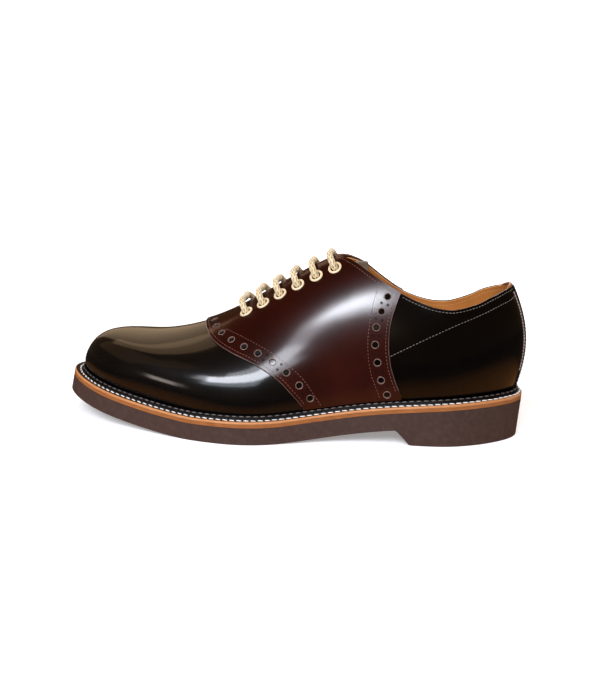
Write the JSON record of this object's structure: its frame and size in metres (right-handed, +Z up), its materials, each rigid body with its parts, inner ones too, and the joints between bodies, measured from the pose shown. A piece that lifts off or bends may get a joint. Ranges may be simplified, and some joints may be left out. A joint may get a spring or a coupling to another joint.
{
  "type": "saddle shoe",
  "caption": "Left welted saddle shoe: hollow leather upper with a contrasting laced saddle over a moulded rubber sole and heel.",
  "frame": {"origin": "on the ground, under the middle of the shoe's box", "axes": "+X from the toe towards the heel, +Y towards the inner side of the foot, +Z up"},
  "size_m": [0.3006, 0.1112, 0.1132],
  "materials": {
    "rubber": "moulded, matte",
    "natural_leather": "natural cut edge, lightly waxed",
    "welt_leather": "dark stained strip with white lock stitch",
    "black_leather": "high gloss polished",
    "burgundy_leather": "high gloss polished",
    "tan_lining": "matte lining leather",
    "tongue_leather": "satin",
    "cream_enamel": "satin enamel",
    "cream_cotton": "braided, matte"
  },
  "bodies": {
    "root": {"outsole": "rubber", "midsole": "natural_leather", "welt": "welt_leather", "insole": "tan_lining", "upper": "black_leather", "saddle": "burgundy_leather", "backstay": "black_leather", "tongue": "tongue_leather", "eyelet_outer_1": "cream_enamel", "eyelet_outer_2": "cream_enamel", "eyelet_outer_3": "cream_enamel", "eyelet_outer_4": "cream_enamel", "eyelet_outer_5": "cream_enamel", "eyelet_outer_6": "cream_enamel", "eyelet_inner_1": "cream_enamel", "eyelet_inner_2": "cream_enamel", "eyelet_inner_3": "cream_enamel", "eyelet_inner_4": "cream_enamel", "eyelet_inner_5": "cream_enamel", "eyelet_inner_6": "cream_enamel", "lace": "cream_cotton"}
  },
  "joints": []
}
